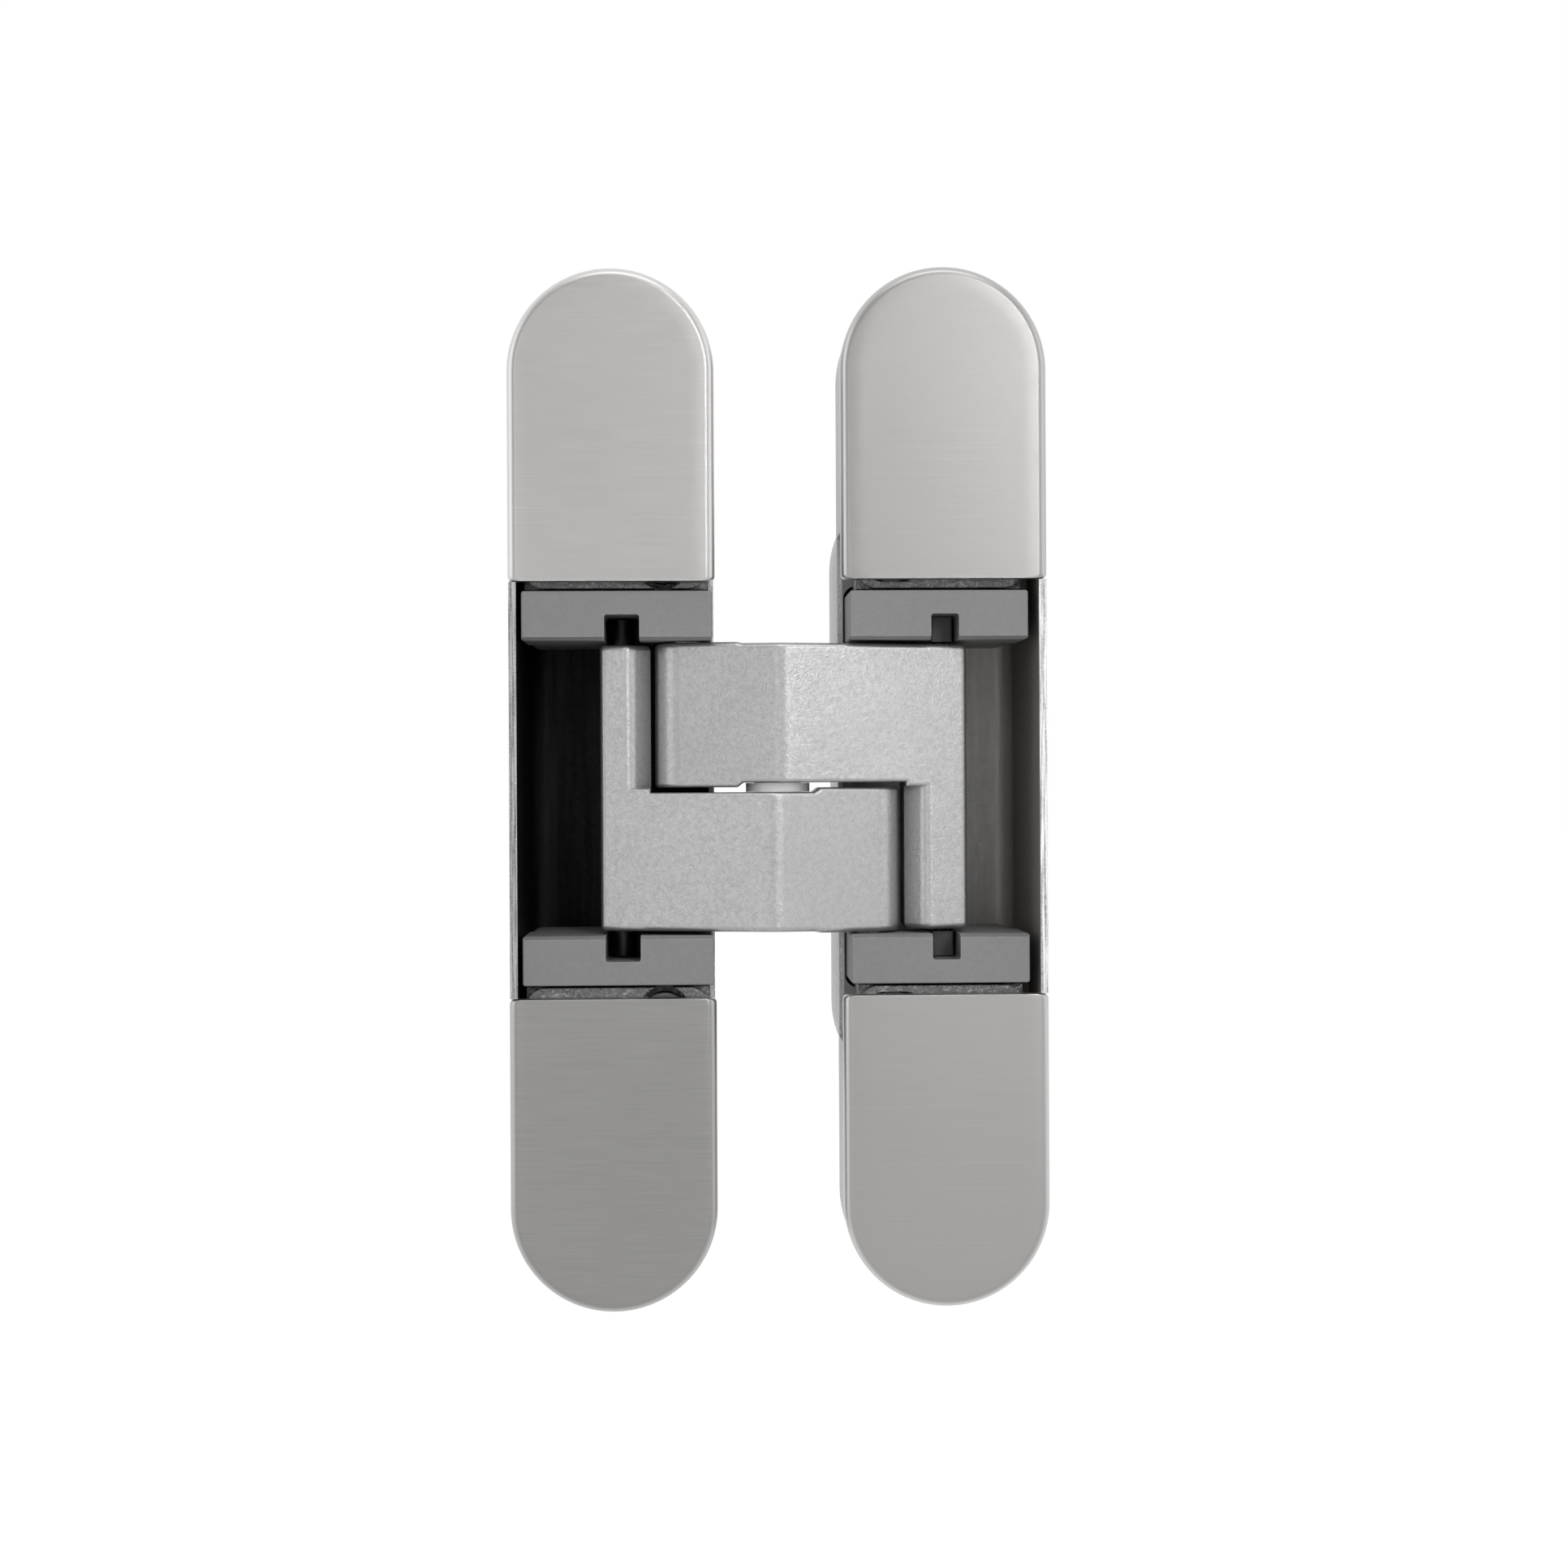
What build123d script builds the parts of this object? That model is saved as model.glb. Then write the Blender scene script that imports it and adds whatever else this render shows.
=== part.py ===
from build123d import *
from dataclasses import dataclass
from math import asin, cos, hypot, radians, sin
import os

# Concealed door hinge opened flat, in millimetres. X runs to the door leaf, Y runs into the pockets and
# Z runs up along the pins. The shapes are drawn from the middle of the frame leaf's front face, and the
# finished pieces are moved so that the origin lies on the line of its screws, at the back of its ends.
# Leaf outline
leaf_length = 111.0
leaf_gap = 13.7
body_width = 21.8
cap_lap = 0.1
cap_length = 33.3
cap_thickness = 2.2
cap_bead = 1.0
cap_end_radius = 0.5

# Cast body
end_depth = 12.0
full_depth = 27.0
deep_end_gap = 0.4
taper_start = 16.0
taper_run = 4.0
outer_wall = 0.8
inner_wall = 0.65
rim_front = 0.1
rim_end_gap = 0.1
shelf_overrun = 8.4
shelf_depth = 10.5
shelf_corner = 2.0
pocket_depth = 25.2
pocket_corner = 1.5
floor_fillet = 2.0
opening_overrun = 5.3

# Screws through each end of a leaf into the wood, placed by their share of the cap's length
fixing_shares = (0.5, 0.82)
fixing_hole = 5.2
fixing_sink = 9.8
fixing_sink_depth = 2.6

# Snap legs under each cap
clip_shares = (0.32, 0.68)
clip_inset = 3.5
clip_thickness = 1.2
clip_width = 3.0
clip_length = 4.6
clip_barb = 0.3
clip_clearance = 0.1

# Linkage: pivots measured from the centre pin, the door half is the frame half turned over
height_setting = 0.2
centre_depth = 5.4
pivot_reach = 9.75
pivot_depth = 6.2
pivot_turn = 112.0
running_clearance = 0.04

# Arms
carrier_room = 6.6
bar_inset = 0.15
strip_inset = 0.25
knuckle_radius = 3.5
knuckle_half_gap = 0.03
bar_half_gap = 0.52
knuckle_edge = 4.4
knuckle_step = 0.65
crease_offset = 0.4
crease_depth = 0.05
crease_radius = 4.0
arm_end_slope = 0.184
arm_end_back = 11.8
strip_face = 13.7
strip_facet = 2.1
strip_facet_depth = 2.3
strip_facet_radius = 1.5
arm_back = 9.7
hip_start = 11.6
hip_end = 14.6
arm_corner = 0.7
arm_edge = 0.6
inner_rim_edge = 0.4
upper_arm_end = 20.4
upper_slider_reach = 17.9
upper_slider_depth = 8.9
lower_arm_end = 19.1
lower_slider_reach = 16.9
lower_slider_depth = 9.6
pivot_pin_diameter = 3.5
pivot_pin_gap = 0.4
centre_pin_diameter = 5.0
centre_pin_recess = 0.4
frame_slider_diameter = 3.1
door_slider_diameter = 2.6
shoe_pin_diameter = 1.6
washer_diameter = 6.9

# Carriers that hold the arms in each leaf
carrier_gap = 0.15
nose_end_gap = 1.2
nose_front = 0.7
nose_back = 20.0
nose_corner = 0.3
nose_back_corner = 1.6
nose_edge = 0.15
nose_lip = 0.35
nose_lip_depth = 0.5
nose_gap = 0.1
groove_width = 0.35
groove_depth = 4.2
shoulder_front = 2.4
shoulder_corner = 2.2
slot_height = 2.75
slider_end_gap = 0.15
slot_tail = 0.4
slot_corner = 0.3
slide_clearance = 0.05
frame_slot_width = 3.75
frame_nose_gap = 0.5
frame_nose_inset = 0.2
frame_shoulder_gap = 0.7
height_travel = 0.8
door_slot_width = 3.0
door_shoulder_gap = 0.5
side_travel = 1.0
door_nose_inset = 0.8
shoe_length = 6.0
shoe_edge = 0.3
shoe_end_gap = 0.1

# Clamp screws and cams that set each carrier
setting_run = 3.9
clamp_inset = 4.85
clamp_head = 5.6
clamp_head_height = 2.2
clamp_seat = 6.2
clamp_thread = 4.0
clamp_end = 17.0
clamp_hex = 2.5
clamp_hex_depth = 1.3
clamp_play = 0.1
drill_margin = 0.5
cam_inset = 4.9
cam_throw = 1.3
cam_diameter = 4.4
cam_front = 7.0
cam_play = 0.08
cam_journal = 4.0
cam_end = 15.5
cam_hex = 2.5
cam_hex_depth = 1.5

# Places that follow from the sizes above
half_length = leaf_length / 2
window_half = half_length - cap_length
side_face = body_width / 2
cap_width = body_width + 2 * cap_lap
leaf_pitch = body_width + leaf_gap
pocket_sides = (outer_wall - side_face, side_face - inner_wall)
shelf_half = window_half + shelf_overrun
fixing_stations = [window_half + cap_length * share for share in fixing_shares]
clip_stations = [window_half + cap_length * share for share in clip_shares]
clip_offset = side_face - clip_inset
deep_half = min(fixing_stations) - fixing_hole / 2 - deep_end_gap
link_reach = leaf_pitch / 2
stack_half = window_half - carrier_room
carrier_face = stack_half + carrier_gap
nose_end = window_half - nose_end_gap
pivot_pin_end = nose_end - pivot_pin_gap
set_station = nose_end + setting_run
clamp_offset = pocket_sides[1] - clamp_inset
cam_offset = pocket_sides[0] + cam_inset


def across(sketch, front, back):
    """Prism of a sketch drawn in X and Z, from one depth to another."""
    return extrude(Plane.XZ.offset(-back) * sketch, back - front)


def along(sketch, low, high):
    """Prism of a sketch drawn in X and Y, from one height to another."""
    return extrude(Plane.XY.offset(low) * sketch, high - low)


def block(sides, depths, heights):
    """Box between two sides, two depths and two heights."""
    corner = Pos(sides[0], depths[0], heights[0])
    size = (sides[1] - sides[0], depths[1] - depths[0], heights[1] - heights[0])
    return corner * Box(*size, align=(Align.MIN, Align.MIN, Align.MIN))


def rounded_block(sides, depths, heights, radius):
    """Box whose corners are rounded as seen from the front."""
    middle = Pos((sides[0] + sides[1]) / 2, (heights[0] + heights[1]) / 2)
    face = middle * RectangleRounded(sides[1] - sides[0], heights[1] - heights[0], radius)
    return across(face, *depths)


def drill(x, z, diameter, front, back):
    """Round hole or shank along the depth."""
    return across(Pos(x, z) * Circle(diameter / 2), front, back)


def oblong(x, z, diameter, travel, upright, front, back):
    """Hole lengthened by a travel, upright or crosswise."""
    turn = 90 if upright else 0
    return across(Pos(x, z) * SlotOverall(diameter + travel, diameter, rotation=turn), front, back)


@dataclass
class Slider:
    """Path of one arm's slider pin in the slot of the leaf that it slides in."""

    reach: float
    depth: float
    inner: float
    outer: float
    deepest: float


def slider(reach, depth):
    """Follows a slider pin from the open hinge to the shut one."""
    swing = hypot(pivot_reach, pivot_depth - centre_depth)
    start = asin((pivot_depth - centre_depth) / swing)
    radius = hypot(reach, depth - centre_depth)
    lean = asin((depth - centre_depth) / radius)
    reaches = []
    depths = []
    for step in range(track_steps + 1):
        turn = radians(pivot_turn) * step / track_steps
        follow = radians(180 - pivot_turn) * step / track_steps
        reaches.append(pivot_reach - swing * cos(start + turn) + radius * cos(lean + follow))
        depths.append(pivot_depth - swing * sin(start + turn) + radius * sin(lean + follow))
    return Slider(reach, depth, min(reaches), max(reaches), max(depths))


track_steps = 56
upper_slider = slider(upper_slider_reach, upper_slider_depth)
lower_slider = slider(lower_slider_reach, lower_slider_depth)
shoe_play = upper_slider.outer - upper_slider.inner + 2 * running_clearance
shoe_width = door_slot_width - shoe_play


def cast_body():
    """Solid outline of a leaf: two screwed ends and a deep middle that tapers to the back."""
    leaf = SlotOverall(leaf_length - 2 * cap_lap, body_width, rotation=90)
    ends = across(leaf, cap_thickness, end_depth)
    deep = across(SlotOverall(2 * deep_half, body_width, rotation=90), cap_thickness, full_depth)
    back_half = deep_half - taper_run
    profile = Polyline(
        (cap_thickness, -deep_half),
        (taper_start, -deep_half),
        (full_depth, -back_half),
        (full_depth, back_half),
        (taper_start, deep_half),
        (cap_thickness, deep_half),
        close=True,
    )
    deep &= extrude(Plane.YZ * make_face(profile), side_face, both=True)
    rim_half = window_half - rim_end_gap
    rim = block((-side_face, pocket_sides[0]), (rim_front, cap_thickness), (-rim_half, rim_half))
    return ends + deep + rim


def pocket():
    """Space inside a leaf: a shelf for the carriers, a deep well and the opening on the inner side."""
    shelf = rounded_block(pocket_sides, (rim_front, shelf_depth), (-shelf_half, shelf_half), shelf_corner)
    well_span = (shelf_depth, pocket_depth)
    well = rounded_block(pocket_sides, well_span, (-window_half, window_half), pocket_corner)
    well = fillet(well.faces().sort_by(Axis.Y)[-1].edges().filter_by(Axis.Z), floor_fillet)
    opening_half = window_half + opening_overrun
    opening = block((0, cap_width), (rim_front, shelf_depth), (-opening_half, opening_half))
    return shelf + well + opening


def fixing_holes():
    """Countersunk holes for the screws into the wood."""
    holes = []
    for station in fixing_stations:
        for z in (station, -station):
            holes.append(drill(0, z, fixing_hole, cap_thickness, end_depth))
            sink = Cone(fixing_sink / 2, fixing_hole / 2, fixing_sink_depth)
            holes.append(Pos(0, cap_thickness + fixing_sink_depth / 2, z) * Rot(-90, 0, 0) * sink)
    return holes


def clip_holes():
    """Slots that take the snap legs of the caps."""
    depth = cap_thickness + clip_length + clip_clearance
    inner = clip_offset - clip_thickness / 2 - clip_clearance
    outer = clip_offset + clip_thickness / 2 + clip_barb + clip_clearance
    half = clip_width / 2 + clip_clearance
    holes = []
    for station in clip_stations:
        for z in (station, -station):
            for sides in ((inner, outer), (-outer, -inner)):
                holes.append(block(sides, (cap_thickness, depth), (z - half, z + half)))
    return holes


def setting_holes(middle):
    """Threads for the clamp screws and bores for the cams, in the shelf."""
    holes = []
    for z in (middle + set_station, middle - set_station):
        holes.append(drill(clamp_offset, z, clamp_thread, shelf_depth, clamp_end + drill_margin))
        bore = cam_journal + 2 * running_clearance
        holes.append(drill(cam_offset, z, bore, shelf_depth, cam_end + drill_margin))
    return holes


def housing(middle):
    """Die-cast housing of a leaf; middle is the height of its carriers."""
    return cast_body() - pocket() - fixing_holes() - clip_holes() - setting_holes(middle)


def clip_legs():
    """Snap legs of one cap."""
    legs = []
    end = cap_thickness + clip_length
    for station in clip_stations:
        for side in (1, -1):
            middle = side * clip_offset
            sides = (middle - clip_thickness / 2, middle + clip_thickness / 2)
            heights = (station - clip_width / 2, station + clip_width / 2)
            legs.append(block(sides, (cap_thickness - clip_barb, end), heights))
            barb = Pos(middle + side * clip_thickness / 2, end - clip_barb, station)
            legs.append(barb * Cylinder(clip_barb, clip_width))
    return legs


def cap():
    """Cover cap over the upper end of a leaf, with a round bead along its outline."""
    outline = SlotOverall(leaf_length, cap_width, rotation=90)
    outline &= Pos(0, window_half + leaf_length / 2) * Rectangle(2 * cap_width, leaf_length)
    plate = across(outline, 0, cap_thickness)
    straight = plate.faces().sort_by(Axis.Z)[0]
    plate = fillet(straight.edges().filter_by(Axis.Y), cap_end_radius)
    front = plate.faces().sort_by(Axis.Y)[0].edges()
    bead = front.filter_by(lambda edge: edge.center().Z > window_half + cap_end_radius)
    plate = fillet(bead, cap_bead)
    return plate + clip_legs()


def slider_slot(track, width, slider_half):
    """Slot open to the front in which a slider pin or its shoe travels."""
    middle = link_reach - (track.inner + track.outer) / 2
    sides = (middle - width / 2, middle + width / 2)
    depths = (0, track.deepest + slider_half + slot_tail)
    top = carrier_face + slot_height
    slot = rounded_block(sides, depths, (carrier_face, top), slot_corner)
    return slot + block(sides, depths, (0, carrier_face + slot_corner))


def clamp_hole(travel, upright):
    """Stepped oblong hole in a carrier round its clamp screw."""
    seat = clamp_head + 2 * clamp_play
    shank = clamp_thread + 2 * clamp_play
    play = 2 * travel
    hole = oblong(clamp_offset, set_station, seat, play, upright, shoulder_front, clamp_seat)
    return hole + oblong(clamp_offset, set_station, shank, play, upright, clamp_seat, shelf_depth)


def cam_swing(travel):
    """How far a cam's middle draws back towards its journal at the end of a travel."""
    return cam_throw * (1 - cos(asin(travel / cam_throw)))


def cam_slot(travel, upright):
    """Slot in a carrier that follows its cam."""
    swing = cam_swing(travel)
    shift = cam_throw - swing / 2
    x, z = (cam_offset, set_station + shift) if upright else (cam_offset + shift, set_station)
    width = cam_diameter + 2 * cam_play
    return oblong(x, z, width, swing, upright, shoulder_front, shelf_depth)


@dataclass
class CarrierFit:
    """How a carrier sits in its leaf: its three widths, its end and the setting that it slides by."""

    nose: tuple
    deep: tuple
    shoulder: tuple
    shoulder_end: float
    track: Slider
    slot_width: float
    slider_half: float
    travel: float
    lifted: bool


def leaf_sides(outer_gap, inner_gap):
    """Sides that stand off the walls of a pocket."""
    return pocket_sides[0] + outer_gap, pocket_sides[1] - inner_gap


frame_fit = CarrierFit(
    nose=leaf_sides(frame_nose_gap, frame_nose_inset - inner_wall),
    deep=leaf_sides(slide_clearance, slide_clearance),
    shoulder=leaf_sides(frame_shoulder_gap, slide_clearance),
    shoulder_end=shelf_half - height_setting - height_travel,
    track=lower_slider,
    slot_width=frame_slot_width,
    slider_half=frame_slider_diameter / 2,
    travel=height_travel,
    lifted=True,
)
side_gap = side_travel + slide_clearance
door_fit = CarrierFit(
    nose=leaf_sides(side_travel + nose_gap, door_nose_inset - inner_wall),
    deep=leaf_sides(side_gap, side_gap),
    shoulder=leaf_sides(side_travel + door_shoulder_gap, side_gap),
    shoulder_end=shelf_half - slide_clearance,
    track=upper_slider,
    slot_width=door_slot_width,
    slider_half=shoe_length / 2,
    travel=side_travel,
    lifted=False,
)


def carrier_blocks(fit):
    """Nose under the arms, deep block behind it and shoulder on the shelf."""
    step = shelf_depth - slide_clearance
    body = rounded_block(fit.nose, (nose_front, step), (carrier_face, nose_end), nose_corner)
    body = fillet(body.faces().sort_by(Axis.Y)[0].edges(), nose_edge)
    deep_span = (step - nose_edge, nose_back)
    body += rounded_block(fit.deep, deep_span, (carrier_face, nose_end), nose_back_corner)
    groove_end = nose_end + groove_width
    shoulder_span = (shoulder_front, shelf_depth)
    body += rounded_block(fit.shoulder, shoulder_span, (groove_end, fit.shoulder_end), shoulder_corner)
    web = (nose_end - nose_corner, groove_end + shoulder_corner)
    return body + block(fit.shoulder, (groove_depth, shelf_depth), web)


def carrier_lip():
    """Chamfer along the nose on the side of the arms."""
    lip = Polyline(
        (nose_front - nose_edge, carrier_face - nose_edge),
        (nose_front - nose_edge, carrier_face + nose_lip),
        (nose_front, carrier_face + nose_lip),
        (nose_front + nose_lip_depth, carrier_face),
        (nose_front + nose_lip_depth, carrier_face - nose_edge),
        close=True,
    )
    return extrude(Plane.YZ * make_face(lip), body_width, both=True)


def carrier(fit, pivoted):
    """Carrier in the upper half of a leaf, its arms' middle plane at height zero."""
    body = carrier_blocks(fit) - carrier_lip()
    body -= slider_slot(fit.track, fit.slot_width, fit.slider_half)
    body -= clamp_hole(fit.travel, fit.lifted)
    body -= cam_slot(fit.travel, not fit.lifted)
    if pivoted:
        bore = Pos(link_reach - pivot_reach, pivot_depth) * Circle(pivot_pin_diameter / 2)
        body -= along(bore, 0, pivot_pin_end)
    return body


def lower(shape):
    """The same piece in the lower half."""
    return mirror(shape, about=Plane.XY)


def clamp_screw():
    """Socket screw that clamps a carrier down on its shelf."""
    top = clamp_seat - clamp_head_height
    head = drill(clamp_offset, set_station, clamp_head, top, clamp_seat)
    shank = drill(clamp_offset, set_station, clamp_thread, clamp_seat, clamp_end)
    socket = RegularPolygon(clamp_hex / 2, 6, major_radius=False)
    recess = across(Pos(clamp_offset, set_station) * socket, top, top + clamp_hex_depth)
    return head + shank - recess


def cam(upright):
    """Eccentric adjuster: a journal in the shelf and an off-centre disc in the carrier."""
    x, z = (cam_offset, set_station + cam_throw) if upright else (cam_offset + cam_throw, set_station)
    disc = drill(x, z, cam_diameter, cam_front, shelf_depth)
    journal = drill(cam_offset, set_station, cam_journal, shelf_depth, cam_end)
    socket = RegularPolygon(cam_hex / 2, 6, major_radius=False)
    return disc + journal - across(Pos(x, z) * socket, cam_front, cam_front + cam_hex_depth)


def tangent_point(centre, radius, point):
    """Point of a circle where the line from an outside point touches it on the front side."""
    away = (point[0] - centre[0], point[1] - centre[1])
    distance = hypot(*away)
    share = radius / distance
    rest = (1 - share * share) ** 0.5
    x = centre[0] + radius * (share * away[0] + rest * away[1]) / distance
    y = centre[1] + radius * (share * away[1] - rest * away[0]) / distance
    return x, y


def front_depth(x):
    """Depth of an arm's long front face at a distance from the centre pin."""
    return crease_depth + arm_end_slope * (x - crease_offset)


def round_corner(face, point, radius):
    """Rounds the corner of a plan that lies at a point."""
    corner = face.vertices().sort_by(lambda vertex: hypot(vertex.X - point[0], vertex.Y - point[1]))[0]
    return fillet(corner, radius)


def round_end(face, end):
    """Rounds the two corners at the far end of a plan."""
    corners = face.vertices().filter_by(lambda corner: corner.X > end - arm_corner)
    return fillet(corners, arm_corner)


def bar_plan(end):
    """Plan of an arm seen along the pins, from its knuckle to its tall end."""
    pivot = (-pivot_reach, pivot_depth)
    crease = (crease_offset, crease_depth)
    outline = Polyline(
        tangent_point(pivot, knuckle_radius, crease),
        crease,
        (end, front_depth(end)),
        (end, arm_end_back),
        (hip_end, arm_end_back),
        (hip_start, arm_back),
        (-pivot_reach, pivot_depth + knuckle_radius),
        pivot,
        close=True,
    )
    face = round_corner(make_face(outline), crease, crease_radius)
    return round_end(face, end) + Pos(*pivot) * Circle(knuckle_radius)


def strip_plan(end):
    """Plan of an arm's tall end alone, with the facet on its inner side."""
    facet = (strip_face + strip_facet, front_depth(strip_face + strip_facet))
    outline = Polyline(
        (strip_face, facet[1] + strip_facet_depth),
        facet,
        (end, front_depth(end)),
        (end, arm_end_back),
        (hip_end, arm_end_back),
        (strip_face, arm_end_back - hip_end + strip_face),
        close=True,
    )
    face = round_corner(make_face(outline), facet, strip_facet_radius)
    return round_end(face, end)


def knuckle_steps(end):
    """Wedges cut above and below the bar where it stands back from the knuckle."""
    low = Polyline(
        (-knuckle_edge, knuckle_half_gap),
        (-knuckle_edge + knuckle_step, bar_half_gap),
        (strip_face, bar_half_gap),
        (strip_face, knuckle_half_gap),
        close=True,
    )
    high = Polyline(
        (-knuckle_edge, stack_half),
        (-knuckle_edge + knuckle_step, stack_half - bar_inset),
        (end, stack_half - strip_inset),
        (end, stack_half),
        close=True,
    )
    wedges = []
    for outline in (low, high):
        wedges.append(extrude(Plane.XZ * make_face(outline), end, both=True))
    return wedges


def is_outer_rim(edge):
    """Whether an edge runs round the top or the foot of an arm."""
    middle = edge.center().Z
    top = middle > stack_half - strip_inset - arm_edge / 2 and edge.bounding_box().size.Z < arm_edge
    foot = middle < strip_inset - stack_half + arm_edge / 2
    return top or foot


def is_inner_rim(edge):
    """Whether an edge runs round the knuckle or along the front, on the side of the other arm."""
    box = edge.bounding_box()
    inner = box.max.Z < bar_half_gap + running_clearance
    return inner and (box.max.Y < pivot_depth or box.min.X < -knuckle_edge - knuckle_step)


def arm(slide, end, pin_diameter, centre_clearance):
    """Cast arm whose knuckle turns in one leaf and whose tall end slides in the other."""
    body = along(bar_plan(end), knuckle_half_gap, stack_half) - knuckle_steps(end)
    body = fillet(body.edges().filter_by(lambda edge: is_inner_rim(edge)), inner_rim_edge)
    body += along(strip_plan(end), strip_inset - stack_half, bar_half_gap + arm_edge)
    body = fillet(body.edges().filter_by(lambda edge: is_outer_rim(edge)), arm_edge)
    pivot_bore = Circle(pivot_pin_diameter / 2 + running_clearance)
    body -= along(Pos(-pivot_reach, pivot_depth) * pivot_bore, 0, stack_half)
    centre_bore = Circle(centre_pin_diameter / 2 + centre_clearance)
    body -= along(Pos(0, centre_depth) * centre_bore, 0, stack_half)
    return body - along(Pos(slide.reach, slide.depth) * Circle(pin_diameter / 2), -stack_half, stack_half)


def slider_pin(slide, diameter, end_diameter):
    """Pin through an arm's tall end that reaches into the slots of both carriers."""
    reach = carrier_face + slot_height - slider_end_gap
    middle = Pos(slide.reach, slide.depth)
    core = along(middle * Circle(diameter / 2), strip_inset - stack_half, stack_half - strip_inset)
    return core + along(middle * Circle(end_diameter / 2), -reach, reach)


def shoe():
    """Sliding shoe on the upper end of the door slider pin."""
    middle = Pos(upper_slider.reach, upper_slider.depth)
    high = carrier_face + slot_height - shoe_end_gap
    plan = RectangleRounded(shoe_width, shoe_length, shoe_edge)
    bore = Circle(shoe_pin_diameter / 2 + running_clearance)
    return along(middle * (plan - bore), carrier_face, high)


def pivot_pin():
    """Pin fixed in a carrier on which an arm's knuckle turns."""
    section = Pos(link_reach - pivot_reach, pivot_depth) * Circle(pivot_pin_diameter / 2)
    return along(section, knuckle_half_gap, pivot_pin_end)


def centre_pin():
    """Pin on which the two arms cross."""
    end = stack_half - bar_inset - centre_pin_recess
    return along(Pos(0, centre_depth) * Circle(centre_pin_diameter / 2), -end, end)


def centre_washer():
    """Spacer between the two arms."""
    half = bar_half_gap - running_clearance
    ring = Circle(washer_diameter / 2) - Circle(centre_pin_diameter / 2 + running_clearance)
    return along(Pos(0, centre_depth) * ring, -half, half)


def frame_parts():
    """Pieces of the frame leaf."""
    lift = Pos(0, 0, height_setting)
    return {
        "frame_housing": housing(height_setting),
        "frame_cap_upper": cap(),
        "frame_cap_lower": lower(cap()),
        "frame_carrier_upper": lift * carrier(frame_fit, True),
        "frame_carrier_lower": lift * lower(carrier(frame_fit, False)),
        "frame_pivot_pin": lift * pivot_pin(),
        "frame_clamp_screw_upper": lift * clamp_screw(),
        "frame_clamp_screw_lower": lift * lower(clamp_screw()),
        "frame_cam_upper": lift * cam(False),
        "frame_cam_lower": lift * lower(cam(False)),
    }


def door_parts():
    """Pieces of the door leaf, which is the frame leaf turned over."""
    place = Pos(leaf_pitch, 0, height_setting) * Rot(0, 180, 0)
    return {
        "door_housing": place * housing(0),
        "door_cap_lower": place * cap(),
        "door_cap_upper": place * lower(cap()),
        "door_carrier_lower": place * carrier(door_fit, True),
        "door_carrier_upper": place * lower(carrier(door_fit, False)),
        "door_pivot_pin": place * pivot_pin(),
        "door_clamp_screw_lower": place * clamp_screw(),
        "door_clamp_screw_upper": place * lower(clamp_screw()),
        "door_cam_lower": place * cam(True),
        "door_cam_upper": place * lower(cam(True)),
    }


def link_parts():
    """Arms, pins, washer and shoes, measured from the centre pin."""
    place = Pos(link_reach, 0, height_setting)
    over = place * Rot(0, 180, 0)
    return {
        "arm_upper": place * arm(upper_slider, upper_arm_end, door_slider_diameter, 0),
        "arm_lower": over * arm(lower_slider, lower_arm_end, frame_slider_diameter, running_clearance),
        "centre_pin": place * centre_pin(),
        "centre_washer": place * centre_washer(),
        "door_slider_pin": place * slider_pin(upper_slider, door_slider_diameter, shoe_pin_diameter),
        "frame_slider_pin": over * slider_pin(lower_slider, frame_slider_diameter, frame_slider_diameter),
        "door_shoe_upper": place * shoe(),
        "door_shoe_lower": place * lower(shoe()),
    }


os.makedirs("parts", exist_ok=True)
for name, shape in {**frame_parts(), **door_parts(), **link_parts()}.items():
    export_step(Pos(0, -end_depth, 0) * shape, f"parts/{name}.step")
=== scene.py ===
"""Looks of a concealed door hinge laid open: cast housings, cover caps, carriers and scissor arms."""

import logging
import math
from dataclasses import dataclass, field
from enum import Enum

import bmesh
import bpy
import numpy as np
from mathutils import Matrix, Vector


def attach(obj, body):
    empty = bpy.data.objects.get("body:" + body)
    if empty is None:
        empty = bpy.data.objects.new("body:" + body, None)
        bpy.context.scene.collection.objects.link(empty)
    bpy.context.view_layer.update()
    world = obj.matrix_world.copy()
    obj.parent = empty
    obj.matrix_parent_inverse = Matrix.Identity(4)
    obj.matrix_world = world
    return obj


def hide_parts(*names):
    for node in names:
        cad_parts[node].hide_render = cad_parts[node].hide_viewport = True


MM = 0.001  # metres in a millimetre
FACE = -12.0  # Y of the leaves' front faces, in millimetres
FRAME_MIDDLE = (0.0, 0.0)  # X and Z of the frame leaf's middle, in millimetres
DOOR_MIDDLE = (35.5, 0.2)  # the same for the door leaf
MERGE_DISTANCE = 1e-7  # points closer than this, in metres, become one
CRISP_ANGLE = 30.0  # edges sharper than this, in degrees, stay crisp
LOG = logging.getLogger("hinge")
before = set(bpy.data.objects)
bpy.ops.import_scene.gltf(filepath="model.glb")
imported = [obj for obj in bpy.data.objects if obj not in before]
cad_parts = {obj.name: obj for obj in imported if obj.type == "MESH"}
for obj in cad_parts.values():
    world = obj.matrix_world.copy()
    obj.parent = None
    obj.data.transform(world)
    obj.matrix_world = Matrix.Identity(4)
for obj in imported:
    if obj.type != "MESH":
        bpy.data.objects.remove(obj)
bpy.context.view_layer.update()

Colour = tuple[float, float, float]
Point = tuple[float, float, float]
Socket = bpy.types.NodeSocket
Term = float | Socket
Outputs = bpy.types.NodeOutputs

WHITE = (1.0, 1.0, 1.0)
# Sockets of Blender's Mix node when it mixes colours
MIX_MASK, MIX_FIRST, MIX_SECOND, MIX_RESULT = 0, 6, 7, 2


class Leaf(Enum):
    """The two leaves of the hinge."""

    FRAME = "frame"
    DOOR = "door"


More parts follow.
